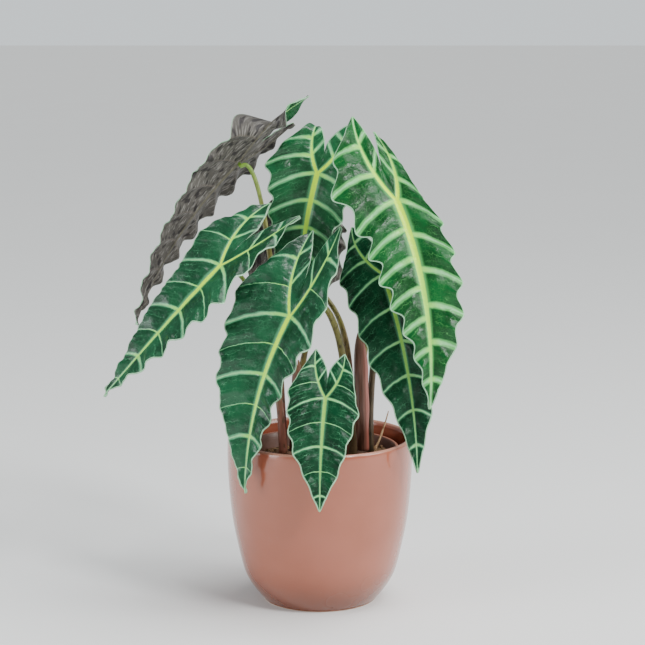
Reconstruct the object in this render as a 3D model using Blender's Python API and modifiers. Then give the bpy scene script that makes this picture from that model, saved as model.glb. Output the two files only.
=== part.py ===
"""A potted alocasia: two young plants in a nursery pot that stands inside a glazed ceramic cachepot.

Metres, +Z up. The origin is the centre of the cachepot's foot, on the surface that the pot stands on,
and -Y is the front. Everything above the rim is one of eight petioles with its blade, two sheaths or
a dry flower stalk. Sizes below are in millimetres and are scaled by MM where they are used.
"""

import math

import bmesh
import bpy
import numpy as np

MM = 0.001
GAP = 0.3            # clearance between pieces that touch on the real plant

# ceramic cachepot
POT_HEIGHT = 126.0
POT_RADIUS = 70.0
FOOT_RADIUS = 43.4
POT_WALL = 4.4

# nursery pot
NURSERY_HEIGHT = 111.0
NURSERY_TOP_RADIUS = 60.0
NURSERY_BASE_RADIUS = 41.0
NURSERY_WALL = 1.3
NURSERY_FLOOR = 6.7  # underside of its base above the table
DRAIN_HOLES = 8
DRAIN_RADIUS = 3.5

# coir
SOIL_TOP = 108.0
SOIL_RADIUS = 57.5

# plants
CORM_LEFT = (-25.0, 6.0)
CORM_RIGHT = (31.0, 4.0)
CORM_RADIUS = 12.0
BLADE_THICKNESS = 1.0

# One blade. Plan lengths are shares of its length from junction to tip. Along runs from the petiole
# junction (0) to the tip (1), negative up into the lobes; side is positive to the right of the upper
# face when the tip hangs down. Each half is (half width, where along it is widest, how far out and
# how far back its lobe ends, veins from the junction to the tip).
BLADES = {
    "front": dict(
        junction=(-22, -40, 224), tip=(-55, -60, 96), facing=(-0.45, -1.0, 0.18), droop=18,
        lobe_droop=25, fold=22, curl=0.15, bow=-0.05, notch=0.12,
        left=(0.34, 0.10, 0.05, 0.50, 6), right=(0.25, 0.00, 0.12, 0.55, 6)),
    "small_front": dict(
        junction=(4, -74, 170), tip=(0, -94, 91), facing=(0.05, -1.0, 0.25), droop=12,
        lobe_droop=30, fold=10, curl=0.10, bow=-0.015, notch=0.08,
        left=(0.35, 0.15, 0.10, 0.44, 5), right=(0.30, 0.20, 0.16, 0.40, 5)),
    "right": dict(
        junction=(56, -30, 308), tip=(80, -62, 159), facing=(0.1, -1.0, 0.25), droop=25,
        lobe_droop=20, fold=8, curl=0.10, bow=0.05, notch=0.16,
        left=(0.30, -0.12, 0.13, 0.45, 7), right=(0.20, 0.45, -0.04, 0.36, 6)),
    "right_rear": dict(
        junction=(47, -14, 251), tip=(72, -48, 108), facing=(-0.1, -1.0, 0.2), droop=15,
        lobe_droop=20, fold=15, curl=0.10, bow=0.04, notch=0.12,
        left=(0.23, 0.15, 0.12, 0.26, 6), right=(0.22, 0.15, 0.11, 0.22, 6)),
    "left": dict(
        junction=(-73, -22, 259), tip=(-160, -34, 163), facing=(-0.5, -0.7, 0.5), droop=30,
        lobe_droop=25, fold=14, curl=0.05, bow=0.05, notch=0.14,
        left=(0.26, -0.10, 0.16, 0.46, 6), right=(0.24, 0.25, 0.02, 0.54, 6)),
    "back_left": dict(
        junction=(-62, 30, 330), tip=(-139, 0, 211), facing=(-0.6, 0.5, 0.55), droop=30,
        lobe_droop=20, fold=5, curl=0.10, bow=0.0, notch=0.12,
        left=(0.18, 0.15, 0.08, 0.35, 6), right=(0.25, 0.05, 0.04, 0.50, 6)),
    "top": dict(
        junction=(-2, 30, 322), tip=(-17, 20, 203), facing=(-0.05, -1.0, 0.45), droop=10,
        lobe_droop=10, fold=8, curl=0.10, bow=-0.03, notch=0.12,
        left=(0.32, 0.00, 0.04, 0.34, 6), right=(0.27, 0.05, 0.15, 0.32, 6)),
    "rear": dict(
        junction=(-17, 52, 275), tip=(-24, 76, 178), facing=(-0.1, 0.9, 0.35), droop=20,
        lobe_droop=20, fold=8, curl=0.10, bow=0.0, notch=0.12,
        left=(0.42, 0.25, 0.16, 0.32, 4), right=(0.42, 0.25, 0.16, 0.32, 4)),
}
TAPER = 1.35         # how full the margin stays towards the tip: 1 is straight, more is rounder
SWEEP = 0.14         # how far a vein runs forward on its way out to the margin
LAST_VEIN = 0.86     # where the last vein leaves the midrib
LOBE_VEINS = (0.65, 0.32)
WEB_DEPTH = 0.45     # depth of the web between the lobes, as a share of the shorter lobe

# petioles: where each leaves its corm and the two places that it bends towards on its way up; it ends
# just under its blade's junction
PETIOLES = {
    "back_left": ((-28, 10, 115), (-30, 10, 215), (-43, 28, 342)),
    "left": ((-28, 1, 115), (-31, 0, 190), (-52, -8, 262)),
    "top": ((-20, 6, 115), (-20, 8, 190), (16, 38, 255)),
    "front": ((22, 3, 115), (22, -5, 200), (6, -28, 258)),
    "small_front": ((25, -7, 115), (24, -18, 175), (12, -58, 205)),
    "right": ((38, 4, 115), (36, 12, 190), (58, 16, 300)),
    "right_rear": ((32, 10, 115), (28, 12, 190), (44, 0, 258)),
    "rear": ((25, 11, 115), (24, 8, 258), (2, 44, 195)),
}
PETIOLE_BASE = 3.1   # radius at the corm
PETIOLE_TOP = 1.5    # radius under the blade
PETIOLE_STOP = 4.5   # how far under the blade's junction it ends



def material(name, colour, roughness):
    """A named Principled material."""
    made = bpy.data.materials.new(name)
    made.use_nodes = True
    shader = made.node_tree.nodes["Principled BSDF"]
    shader.inputs["Base Color"].default_value = (*colour, 1.0)
    shader.inputs["Roughness"].default_value = roughness
    return made


def mesh_object(name, mesh, collection, made=None):
    """An object for the mesh, in its collection and with its own material."""
    part = bpy.data.objects.new(name, mesh)
    collection.objects.link(part)
    if made:
        mesh.materials.append(made)
    return part


def turned(name, profile, steps, collection, made=None):
    """A round piece: the (radius, height) profile in millimetres, top to bottom, spun about Z."""
    mesh = bpy.data.meshes.new(name)
    shape = bmesh.new()
    corners = [shape.verts.new((radius * MM, 0, height * MM)) for radius, height in profile]
    for upper, lower in zip(corners, corners[1:]):
        shape.edges.new((upper, lower))
    shape.to_mesh(mesh)
    shape.free()
    part = mesh_object(name, mesh, collection, made)
    screw = part.modifiers.new("Turned", "SCREW")
    screw.axis = "Z"
    screw.steps = steps
    screw.render_steps = steps
    screw.use_merge_vertices = True
    screw.merge_threshold = 0.00001
    screw.use_smooth_shade = True
    return part


def tube(name, path, collection, made):
    """A round stem along (x, y, z, radius) points, with both ends capped."""
    curve = bpy.data.curves.new(name, "CURVE")
    curve.dimensions = "3D"
    curve.bevel_depth = MM
    curve.bevel_resolution = 2
    curve.resolution_u = 4
    curve.use_fill_caps = True
    spline = curve.splines.new("BEZIER")
    spline.bezier_points.add(len(path) - 1)
    for point, (x, y, z, radius) in zip(spline.bezier_points, path):
        point.co = (x * MM, y * MM, z * MM)
        point.handle_left_type = "AUTO"
        point.handle_right_type = "AUTO"
        point.radius = radius
    stem = bpy.data.objects.new(name, curve)
    collection.objects.link(stem)
    curve.materials.append(made)
    return stem


def cut(part, cutter):
    """Takes the cutter's shape out of the part."""
    boolean = part.modifiers.new("Cut " + cutter.name, "BOOLEAN")
    boolean.operation = "DIFFERENCE"
    boolean.solver = "EXACT"
    boolean.object = cutter


def unit(vector):
    return np.asarray(vector, float) / np.linalg.norm(vector)


def blade_frame(blade):
    """Junction, direction of the midrib and of the upper face there, sideways, and length in mm."""
    junction = np.array(blade["junction"], float)
    chord = np.array(blade["tip"], float) - junction
    along = unit(chord)
    facing = np.array(blade["facing"], float)
    facing = unit(facing - along * (facing @ along))
    half = math.radians(blade["droop"]) / 2
    out = along * math.cos(half) + facing * math.sin(half)
    up = facing * math.cos(half) - along * math.sin(half)
    return junction, out, up, np.cross(up, out), np.linalg.norm(chord) * half / math.sin(half)


def midrib_side(blade, along):
    """How far the midrib bows to one side at a station."""
    along = min(max(along, 0.0), 1.0)
    return 4 * blade["bow"] * along * (1 - along)


def vein_stops(blade, lobe):
    """(rib station, side, along) of each vein's end on one half's margin, from lobe tip to leaf tip."""
    sign = -1 if lobe == "left" else 1
    width, widest, lobe_out, lobe_back, veins = blade[lobe]
    stops = []
    for station in [-s for s in LOBE_VEINS] + [LAST_VEIN * n / (veins - 1) for n in range(veins)]:
        if station < 0:
            along = SWEEP + station * (SWEEP + lobe_back)
        else:
            along = station + SWEEP * (1 - station)
        if along < widest:
            back = (widest - along) / (widest + lobe_back)
            half = lobe_out + (width - lobe_out) * (1 - back * back)
        else:
            half = width * (1 - ((along - widest) / (1 - widest)) ** TAPER)
        half *= 1 + 0.05 * math.sin(9 * station + 2 * sign)
        stops.append((station, midrib_side(blade, along) + sign * half, along))
    return stops


def web_stops(blade, lobe):
    """(rib station, side, along) from the bottom of the web between the lobes to the lobe's tip."""
    sign = -1 if lobe == "left" else 1
    reach = min(blade["left"][3], blade["right"][3])
    centre = 0.25 * (blade["right"][2] - blade["left"][2])
    depth = -WEB_DEPTH * reach
    out, back = sign * blade[lobe][2], -blade[lobe][3]
    return [(-s, centre + (out - centre) * s * s, depth + (back - depth) * s) for s in (0, 0.35, 0.7)]


def blade_point(blade, side, along, lift):
    """The point in space, in mm, of a plan point lifted off the sheet by a share of the length."""
    junction, out, up, across, length = blade_frame(blade)
    bend = math.radians(blade["droop"] if along >= 0 else blade["lobe_droop"])
    turn = bend * along
    centre = junction + length / bend * (out * math.sin(turn) - up * (1 - math.cos(turn)))
    normal = up * math.cos(turn) + out * math.sin(turn)
    fold = math.radians(blade["fold"])
    reach = side - midrib_side(blade, along)
    rise = abs(reach) * math.sin(fold) - blade["curl"] * reach * reach + lift
    return centre + length * (across * side * math.cos(fold) + normal * rise)


def rib_plan(blade, lobe, station):
    """Plan point of a rib station: on the midrib from 0 to 1, on the lobe's rib below 0."""
    if station >= 0:
        return np.array((midrib_side(blade, station), station))
    sign = -1 if lobe == "left" else 1
    out, back = blade[lobe][2], blade[lobe][3]
    end = np.array((sign * out, -back))
    middle = np.array((sign * (0.55 * out + 0.035), -0.48 * back))
    t = -station
    return 2 * t * (1 - t) * (2 * middle - end / 2) + t * t * end


def margin_plan(blade, lobe, station, inner):
    """Plan point of the margin that belongs to a rib station, and the vein count up to there."""
    sign = -1 if lobe == "left" else 1
    lobe_tip = np.array((sign * blade[lobe][2], -blade[lobe][3]))
    if inner:
        stops = web_stops(blade, lobe)
        stops.append((-1, lobe_tip[0] - 0.006 * sign, lobe_tip[1]))
    else:
        stops = [(-1, lobe_tip[0] + 0.006 * sign, lobe_tip[1]), *vein_stops(blade, lobe)]
        stops.append((1, 0.005 * sign, 1.0))
    for count, (first, last) in enumerate(zip(stops, stops[1:])):
        part = (station - first[0]) / (last[0] - first[0])
        if part <= 1.000001:
            break
    point = np.array(first[1:]) * (1 - part) + np.array(last[1:]) * part
    return point, count + part


def petiole_path(leaf):
    """(x, y, z, radius) points of a petiole, on one curve from its corm to under its blade."""
    junction, _, up, _, _ = blade_frame(BLADES[leaf])
    foot, low, high = (np.array(point, float) for point in PETIOLES[leaf])
    end = junction - up * PETIOLE_STOP
    path = []
    for step in range(8):
        t = step / 7
        place = foot * (1 - t) ** 3 + 3 * low * t * (1 - t) ** 2 + 3 * high * t * t * (1 - t) + end * t ** 3
        path.append((*place, PETIOLE_TOP + (PETIOLE_BASE - PETIOLE_TOP) * (1 - t) ** 2))
    return path


def blade_grid(blade, lobe, inner, shape, stations, rows):
    """One quarter of a blade: cross rows from the rib to the margin at every rib station."""
    grid = []
    for station in stations:
        root = rib_plan(blade, lobe, station)
        edge, veins = margin_plan(blade, lobe, station, inner)
        if not inner:
            edge = edge + (root - edge) * blade["notch"] * abs(math.sin(math.pi * veins)) ** 1.3
        line = []
        for row in range(rows + 1):
            v = row / rows
            plan = root * (1 - v) + edge * v
            if not inner:
                plan[1] -= 0.35 * abs(edge[0] - root[0]) * v * (1 - v)
            lift = -0.012 * math.cos(2 * math.pi * veins) * v * v * (0 if inner else 1)
            line.append(shape.verts.new(blade_point(blade, plan[0], plan[1], lift) * MM))
        grid.append(line)
    for line, following in zip(grid, grid[1:]):
        for row in range(rows):
            shape.faces.new((line[row], line[row + 1], following[row + 1], following[row]))


def leaf_blade(name, blade, collection, made):
    """An arrow-shaped blade: midrib, two lobe ribs, veined halves and the web between the lobes."""
    shape = bmesh.new()
    lobe_stations = [-1 + step / 6 for step in range(6)]
    blade_stations = [step / 15 for step in range(16)]
    for lobe in ("left", "right"):
        blade_grid(blade, lobe, False, shape, lobe_stations + blade_stations, 3)
        blade_grid(blade, lobe, True, shape, [0.0] + lobe_stations[::-1], 1)
    bmesh.ops.remove_doubles(shape, verts=shape.verts, dist=0.05 * MM)
    bmesh.ops.recalc_face_normals(shape, faces=shape.faces)
    mesh = bpy.data.meshes.new(name)
    shape.to_mesh(mesh)
    shape.free()
    part = mesh_object(name, mesh, collection, made)
    thick = part.modifiers.new("Thickness", "SOLIDIFY")
    thick.thickness = BLADE_THICKNESS * MM
    thick.offset = 0.0
    for face in mesh.polygons:
        face.use_smooth = True
    return part


for old in list(bpy.data.objects):
    bpy.data.objects.remove(old, do_unlink=True)

plant = bpy.data.collections.new("Potted alocasia")
cutters = bpy.data.collections.new("Cutters")
bpy.context.scene.collection.children.link(plant)
bpy.context.scene.collection.children.link(cutters)
cutters.hide_render = True

glaze = material("Blush glaze", (0.56, 0.27, 0.20), 0.2)
plastic = material("Terracotta plastic", (0.50, 0.23, 0.16), 0.5)
coir = material("Coir", (0.16, 0.09, 0.04), 0.95)
corm_skin = material("Corm skin", (0.14, 0.07, 0.04), 0.8)
blade_green = material("Blade green", (0.02, 0.12, 0.05), 0.35)
petiole_green = material("Petiole green", (0.24, 0.22, 0.06), 0.45)
sheath_brown = material("Sheath brown", (0.22, 0.08, 0.05), 0.6)
stalk_straw = material("Dry straw", (0.40, 0.24, 0.10), 0.8)

# Cachepot: slip-cast bowl with a flat glazed foot, swelling to an upright wall and a thin round lip.
inner = POT_RADIUS - POT_WALL
pot_profile = [
    (0, 6.4), (42, 6.4), (47, 11), (53.4, 23), (57.8, 40), (62, 63), (64.4, 86), (inner, 104),
    (inner, 122.5), (66.6, 125.2), (67.8, POT_HEIGHT), (69.1, 125.3), (69.8, 123), (POT_RADIUS, 118),
    (POT_RADIUS, 105), (69, 86.5), (66.6, 63), (62.2, 40), (58, 23.5), (54.5, 16), (49.8, 8.5),
    (45.2, 2.6), (FOOT_RADIUS, 1.4), (FOOT_RADIUS, 0.3), (FOOT_RADIUS - 0.5, 0), (0, 0),
]
cachepot = turned("ceramic_pot", pot_profile, 48, plant, glaze)

# Nursery pot: thin tapered plastic with a rolled rim and drain holes in its floor.
top = NURSERY_FLOOR + NURSERY_HEIGHT
base = NURSERY_BASE_RADIUS
nursery_profile = [
    (0, NURSERY_FLOOR + NURSERY_WALL), (base - NURSERY_WALL, NURSERY_FLOOR + NURSERY_WALL),
    (55.2, top - 9), (57.2, top - 1.2), (58.2, top), (NURSERY_TOP_RADIUS - 0.6, top - 0.2),
    (NURSERY_TOP_RADIUS, top - 1.4), (59.6, top - 7), (57.0, top - 8), (56.4, top - 9.6),
    (base, NURSERY_FLOOR + 0.6), (base - 0.6, NURSERY_FLOOR), (0, NURSERY_FLOOR),
]
nursery = turned("nursery_pot", nursery_profile, 40, plant, plastic)
for number in range(DRAIN_HOLES):
    angle = 2 * math.pi * number / DRAIN_HOLES
    place = (30 * MM * math.cos(angle), 30 * MM * math.sin(angle), NURSERY_FLOOR * MM)
    bpy.ops.mesh.primitive_cylinder_add(vertices=12, radius=DRAIN_RADIUS * MM, depth=8 * MM,
                                        location=place)
    drill = bpy.context.object
    drill.name = "drain_%d" % number
    for home in list(drill.users_collection):
        home.objects.unlink(drill)
    cutters.objects.link(drill)
    drill.display_type = "WIRE"
    drill.hide_render = True
    cut(nursery, drill)

# Coir: fills the nursery pot to a little under its rim, slightly mounded, with a seat for each corm.
soil_bottom = NURSERY_FLOOR + NURSERY_WALL + GAP
side_slope = (55.2 - base + NURSERY_WALL) / (NURSERY_HEIGHT - 10.3)
soil_edge = base - NURSERY_WALL - GAP - 0.1 + side_slope * (SOIL_TOP - 2 - soil_bottom)
soil_profile = [
    (0, SOIL_TOP + 2.0), (18, SOIL_TOP + 1.6), (36, SOIL_TOP + 0.4), (50, SOIL_TOP - 0.8),
    (soil_edge, SOIL_TOP - 2), (base - NURSERY_WALL - GAP - 0.1, soil_bottom), (0, soil_bottom),
]
soil = turned("soil", soil_profile, 40, plant, coir)

# Corms: two squat starchy bases, half sunk in the coir, that the petioles grow from.
corm_profile = [
    (0, 5.2), (5, 4.6), (9, 2.4), (11.4, -2), (CORM_RADIUS, -7), (10.5, -13), (6.5, -18), (0, -20),
]
for side, (x, y) in (("left", CORM_LEFT), ("right", CORM_RIGHT)):
    corm = turned("corm_" + side, corm_profile, 20, plant, corm_skin)
    corm.location = (x * MM, y * MM, SOIL_TOP * MM)
    seat_profile = [
        (0, 14), (12, 14), (12.4, 0), (CORM_RADIUS + 0.5, -6.8), (10.9, -13.3), (6.8, -18.5),
        (0, -20.6),
    ]
    seat = turned("seat_" + side, seat_profile, 20, cutters)
    seat.location = corm.location
    seat.display_type = "WIRE"
    seat.hide_render = True
    cut(soil, seat)

# Blades and petioles: one leaf each.
for leaf, blade in BLADES.items():
    leaf_blade("leaf_" + leaf, blade, plant, blade_green)
    tube("petiole_" + leaf, petiole_path(leaf), plant, petiole_green)

# Sheaths: papery cataphylls that once wrapped young leaves, each a bent strip beside a petiole.
# Each is (foot, top, half width): it is widest below the middle and narrows to a point.
SHEATHS = {
    "right": ((33, -6, 115), (30, -7, 206), 5.5),
    "left": ((-17, -2, 115), (-17, 1, 182), 4.2),
}
for side, (foot, head, widest) in SHEATHS.items():
    shape = bmesh.new()
    rows = []
    for t in (0, 0.25, 0.5, 0.75, 1.0):
        x, y, z = np.array(foot) * (1 - t) + np.array(head) * t
        half_width = widest * (0.75 + 0.5 * t) * (1 - 0.75 * t ** 5)
        row = []
        for step in range(7):
            angle = math.radians(-75 + 25 * step)
            offset = np.array((half_width * math.sin(angle), -half_width * math.cos(angle), 0))
            row.append(shape.verts.new((np.array((x, y + half_width, z)) + offset) * MM))
        rows.append(row)
    for row, following in zip(rows, rows[1:]):
        for step in range(6):
            shape.faces.new((row[step], row[step + 1], following[step + 1], following[step]))
    mesh = bpy.data.meshes.new("sheath_" + side)
    shape.to_mesh(mesh)
    shape.free()
    sheath = mesh_object("sheath_" + side, mesh, plant, sheath_brown)
    thick = sheath.modifiers.new("Thickness", "SOLIDIFY")
    thick.thickness = 0.9 * MM
    thick.offset = 0.0
    for face in mesh.polygons:
        face.use_smooth = True

# Dry flower stalk: a thin shrivelled stem that leans over the rim of the nursery pot.
STALK_FOOT = np.array((41, 17, 111, 1.1))
STALK_TIP = np.array((53, 30, 138, 0.5))
STALK_SAG = np.array((0, 0, 3, 0))
stalk = [STALK_FOOT + (STALK_TIP - STALK_FOOT) * t - STALK_SAG * 4 * t * (1 - t)
         for t in (0, 1 / 3, 2 / 3, 1)]
tube("dry_stalk", stalk, plant, stalk_straw)
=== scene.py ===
"""A potted alocasia: two young plants in a nursery pot that stands inside a glazed cachepot.

Lengths are millimetres, turned into metres by MM. -Y is the front and +Z is up. Each piece stands
for one CAD node and rides on the root, because nothing on a potted plant is jointed.
"""

import math

import bmesh
import bpy
import numpy as np
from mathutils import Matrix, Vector, noise


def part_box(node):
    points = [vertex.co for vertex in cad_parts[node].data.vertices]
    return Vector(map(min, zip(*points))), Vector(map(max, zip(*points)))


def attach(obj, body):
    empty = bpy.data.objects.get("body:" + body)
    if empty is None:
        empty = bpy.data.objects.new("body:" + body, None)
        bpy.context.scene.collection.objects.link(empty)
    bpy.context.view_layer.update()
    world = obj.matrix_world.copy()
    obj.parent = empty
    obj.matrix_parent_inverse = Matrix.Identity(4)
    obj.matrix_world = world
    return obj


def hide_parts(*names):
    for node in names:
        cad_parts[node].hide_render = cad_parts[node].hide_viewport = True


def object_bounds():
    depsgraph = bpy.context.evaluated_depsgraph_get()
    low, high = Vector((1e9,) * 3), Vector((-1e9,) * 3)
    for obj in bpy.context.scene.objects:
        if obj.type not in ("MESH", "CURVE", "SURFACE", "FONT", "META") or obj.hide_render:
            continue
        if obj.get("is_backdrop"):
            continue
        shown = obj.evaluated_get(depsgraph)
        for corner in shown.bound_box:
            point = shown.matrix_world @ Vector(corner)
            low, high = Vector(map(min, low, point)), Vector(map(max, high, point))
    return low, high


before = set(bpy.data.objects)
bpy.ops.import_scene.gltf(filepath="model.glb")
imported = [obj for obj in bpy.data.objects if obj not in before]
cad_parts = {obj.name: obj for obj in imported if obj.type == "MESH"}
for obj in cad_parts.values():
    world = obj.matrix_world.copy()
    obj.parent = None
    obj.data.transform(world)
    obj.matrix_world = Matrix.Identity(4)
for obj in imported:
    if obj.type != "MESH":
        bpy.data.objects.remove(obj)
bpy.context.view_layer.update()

MM = 0.001


# ---- Cachepot -------------------------------------------------------------------------------
# Slip-cast stoneware bowl with a thin rolled lip, dipped in a glossy pink glaze. The glaze breaks
# pale over the lip, with a painted highlight there too, is darkened towards the foot by painted
# shade, and stops short of the ground foot.

def add_node(tree, kind, inputs=None, **settings):
    """A shader node with its settings and its input values, or links where an input is a socket."""
    made = tree.nodes.new(kind)
    for name, value in settings.items():
        setattr(made, name, value)
    for name, value in (inputs or {}).items():
        join(tree, value, made.inputs[name])
    return made


def join(tree, value, socket):
    """Links a socket, or sets a plain value; a colour is given as red, green and blue."""
    if isinstance(value, bpy.types.NodeSocket):
        tree.links.new(value, socket)
    else:
        socket.default_value = (*value, 1) if socket.type == "RGBA" else value


def calc(tree, operation, *values):
    """The result of a Math node on sockets and numbers."""
    return add_node(tree, "ShaderNodeMath", dict(enumerate(values)), operation=operation).outputs[0]


def times(tree, first, second):
    return calc(tree, "MULTIPLY", first, second)


def plus(tree, first, second):
    return calc(tree, "ADD", first, second)


def xyz(tree, vector):
    """The X, Y and Z of a vector."""
    return add_node(tree, "ShaderNodeSeparateXYZ", {0: vector}).outputs


def uv_map(tree, name):
    """The coordinates of one of the piece's UV maps."""
    return add_node(tree, "ShaderNodeUVMap", uv_map=name).outputs[0]


def blend(tree, amount, first, second):
    """The first colour turning into the second as the amount goes from 0 to 1."""
    inputs = {0: amount, 6: first, 7: second}
    return add_node(tree, "ShaderNodeMix", inputs, data_type="RGBA").outputs[2]


def paint(tree, under, mask, strength, over):
    """The second colour laid over the first where the mask is 1, at the given strength."""
    return blend(tree, times(tree, mask, strength), under, over)


def fade(tree, value, start, end, low=0.0, high=1.0):
    """A value mapped smoothly from the range start..end to low..high."""
    inputs = {0: value, 1: start, 2: end, 3: low, 4: high}
    return add_node(tree, "ShaderNodeMapRange", inputs, interpolation_type="SMOOTHSTEP").outputs[0]


def grain(tree, coords, scale, detail=4.0, rough=0.55, stretch=None):
    """Noise around 0.5 over the given coordinates, stretched if asked."""
    if stretch:
        inputs = {"Vector": coords, "Scale": stretch}
        coords = add_node(tree, "ShaderNodeMapping", inputs).outputs[0]
    inputs = {"Vector": coords, "Scale": scale, "Detail": detail, "Roughness": rough}
    return add_node(tree, "ShaderNodeTexNoise", inputs).outputs[0]


def swing(tree, coords, scale, detail, amount):
    """Noise around zero, reaching half the amount to either side."""
    return times(tree, calc(tree, "SUBTRACT", grain(tree, coords, scale, detail), 0.5), amount)


def new_material(name):
    """A node material: itself, its tree, its Principled shader and its object coordinates."""
    made = bpy.data.materials.new(name)
    made.use_nodes = True
    tree = made.node_tree
    coords = add_node(tree, "ShaderNodeTexCoord").outputs["Object"]
    return made, tree, tree.nodes["Principled BSDF"], coords


def dress(tree, shader, height=None, strength=0.3, depth=MM, **sockets):
    """Sets or links the shader's inputs, and a height into its normal through a bump."""
    for name, value in sockets.items():
        join(tree, value, shader.inputs[name.replace("_", " ")])
    if height:
        inputs = {"Strength": strength, "Distance": depth, "Height": height}
        bump = add_node(tree, "ShaderNodeBump", inputs)
        tree.links.new(bump.outputs[0], shader.inputs["Normal"])


def bring_in(made):
    """Puts a new object into the scene."""
    bpy.context.scene.collection.objects.link(made)


def smooth_path(points, per_span):
    """A Catmull-Rom line through points of any number of values, ends included."""
    points = np.asarray(points, float)
    padded = np.vstack([2 * points[0] - points[1], points, 2 * points[-1] - points[-2]])
    line = []
    for before, start, end, after in zip(padded, padded[1:], padded[2:], padded[3:]):
        for t in np.arange(per_span) / per_span:
            line.append(0.5 * (2 * start + (end - before) * t
                               + (2 * before - 5 * start + 4 * end - after) * t * t
                               + (3 * start - before - 3 * end + after) * t ** 3))
    return np.array(line + [points[-1]])


def turned(name, profile, steps):
    """A round piece: a (radius, height) outline in millimetres, spun once about Z in edit mode."""
    corners = [(radius * MM, 0, height * MM) for radius, height in profile]
    mesh = bpy.data.meshes.new(name)
    mesh.from_pydata(corners, [(n, n + 1) for n in range(len(corners) - 1)], [])
    piece = bpy.data.objects.new(name, mesh)
    bring_in(piece)
    bpy.ops.object.select_all(action="DESELECT")
    piece.select_set(True)
    bpy.context.view_layer.objects.active = piece
    bpy.ops.object.mode_set(mode="EDIT")
    bpy.ops.mesh.select_all(action="SELECT")
    bpy.ops.mesh.spin(steps=steps, angle=math.tau, center=(0, 0, 0), axis=(0, 0, 1))
    bpy.ops.mesh.select_all(action="SELECT")
    bpy.ops.mesh.remove_doubles(threshold=0.00001)
    bpy.ops.mesh.normals_make_consistent(inside=False)
    bpy.ops.object.mode_set(mode="OBJECT")
    bpy.ops.object.shade_smooth_by_angle(angle=math.radians(40))
    return piece


def set_down(piece, slot, node, *materials):
    """Dresses the piece, puts it on the root in the place of its CAD node and hides that node; the slot is
    not used.
    """
    for made in materials:
        piece.data.materials.append(made)
    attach(piece, "root")
    if node:
        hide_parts(node)


pot_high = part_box("ceramic_pot")[1]
pot_radius = pot_high[0] / MM
pot_height = pot_high[2] / MM
wall = 4.4
pot_inside = [(0, 6.4), (20, 6.4), (36, 6.5), (42.4, 7.4), (47.4, 11.6), (53.4, 23), (57.9, 40),
              (62, 63), (64.5, 86), (pot_radius - wall, 104), (pot_radius - wall, 121)]
lip = [(pot_radius - 4.1, 123.6), (pot_radius - 3.3, 125.3), (pot_radius - 2.2, pot_height),
       (pot_radius - 1.0, 125.4), (pot_radius - 0.3, 123.8)]
pot_outside = [(pot_radius, 118), (pot_radius, 105), (69, 86.5), (66.6, 63), (62.6, 42), (58.2, 24),
               (54.2, 15.2), (49.4, 8.0), (45.4, 3.2), (44.2, 1.9)]
foot = [(43.5, 1.5), (43.3, 0.5), (42.7, 0.0), (30, 0.0), (0, 0.0)]
pot_line = [tuple(p) for p in smooth_path(pot_inside + lip + pot_outside, 4)] + foot
cachepot = turned("Cachepot", pot_line, 160)

glaze, tree, shader, coords = new_material("Pink glaze")
height = xyz(tree, coords)["Z"]
clouds = grain(tree, coords, 14.0, 3.0)
fine = grain(tree, coords, 420.0, 2.0)
colour = blend(tree, fade(tree, clouds, 0.35, 0.65), (0.335, 0.092, 0.048), (0.372, 0.108, 0.060))
# Painted shade: the glaze is darkened towards the foot.
painted_foot_shade = fade(tree, height, 0.040, 0.003, 0.0, 0.85)
colour = blend(tree, painted_foot_shade, colour, (0.155, 0.042, 0.018))
# Paler over the lip where the glaze thins, and this also serves as a painted highlight along the lip.
pale_lip_and_highlight = fade(tree, height, pot_height * MM - 0.0022, pot_height * MM - 0.0004)
colour = paint(tree, colour, pale_lip_and_highlight, 0.55, (0.62, 0.36, 0.26))
pinholes = fade(tree, grain(tree, coords, 900.0, 1.0), 0.71, 0.76)
colour = paint(tree, colour, pinholes, 0.5, (0.30, 0.12, 0.08))
bare = fade(tree, height, 0.0008, 0.0004)
clay = blend(tree, fine, (0.50, 0.33, 0.22), (0.62, 0.44, 0.32))
colour = blend(tree, bare, colour, clay)
gloss = plus(tree, fade(tree, clouds, 0.3, 0.7, 0.20, 0.28), times(tree, bare, 0.6))
relief = plus(tree, grain(tree, coords, 55.0, 2.0), times(tree, fine, 0.06))
dress(tree, shader, relief, 0.12, MM, Base_Color=colour, Roughness=gloss,
      Coat_Weight=0.5, Coat_Roughness=0.10)
set_down(cachepot, "glaze", "ceramic_pot", glaze)


# ---- Nursery pot ----------------------------------------------------------------------------
# Thin injection-moulded pot with a stiff rolled rim, standing loose on the cachepot's floor, with
# a ring of drain holes in its base.

nursery_low, nursery_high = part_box("nursery_pot")
rim_radius = nursery_high[0] / MM
rim_top = nursery_high[2] / MM
base_z = nursery_low[2] / MM
nursery_inside = [(0, base_z + 1.3), (38.6, base_z + 1.3), (39.9, base_z + 2.2), (55.2, rim_top - 9.2),
                  (56.4, rim_top - 4.5), (57.0, rim_top - 1.2)]
rolled = [(57.5, rim_top - 0.3), (58.2, rim_top), (59.2, rim_top - 0.1), (rim_radius - 0.2, rim_top - 0.6),
          (rim_radius, rim_top - 1.6), (59.8, rim_top - 6.6), (59.3, rim_top - 7.2)]
nursery_outside = [(57.2, rim_top - 7.6), (56.6, rim_top - 9.4), (41.2, base_z + 1.0), (40.6, base_z),
                   (0, base_z)]
nursery = turned("Inner_pot", nursery_inside + rolled + nursery_outside, 144)
for number in range(8):
    turn = math.tau * number / 8
    place = (0.030 * math.cos(turn), 0.030 * math.sin(turn), base_z * MM)
    bpy.ops.mesh.primitive_cylinder_add(vertices=24, radius=0.0035, depth=0.008, location=place)
    drill = bpy.context.object
    hole = nursery.modifiers.new("Drain hole", "BOOLEAN")
    hole.operation = "DIFFERENCE"
    hole.object = drill
    bpy.context.view_layer.objects.active = nursery
    bpy.ops.object.modifier_apply(modifier=hole.name)
    bpy.data.objects.remove(drill, do_unlink=True)

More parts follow.
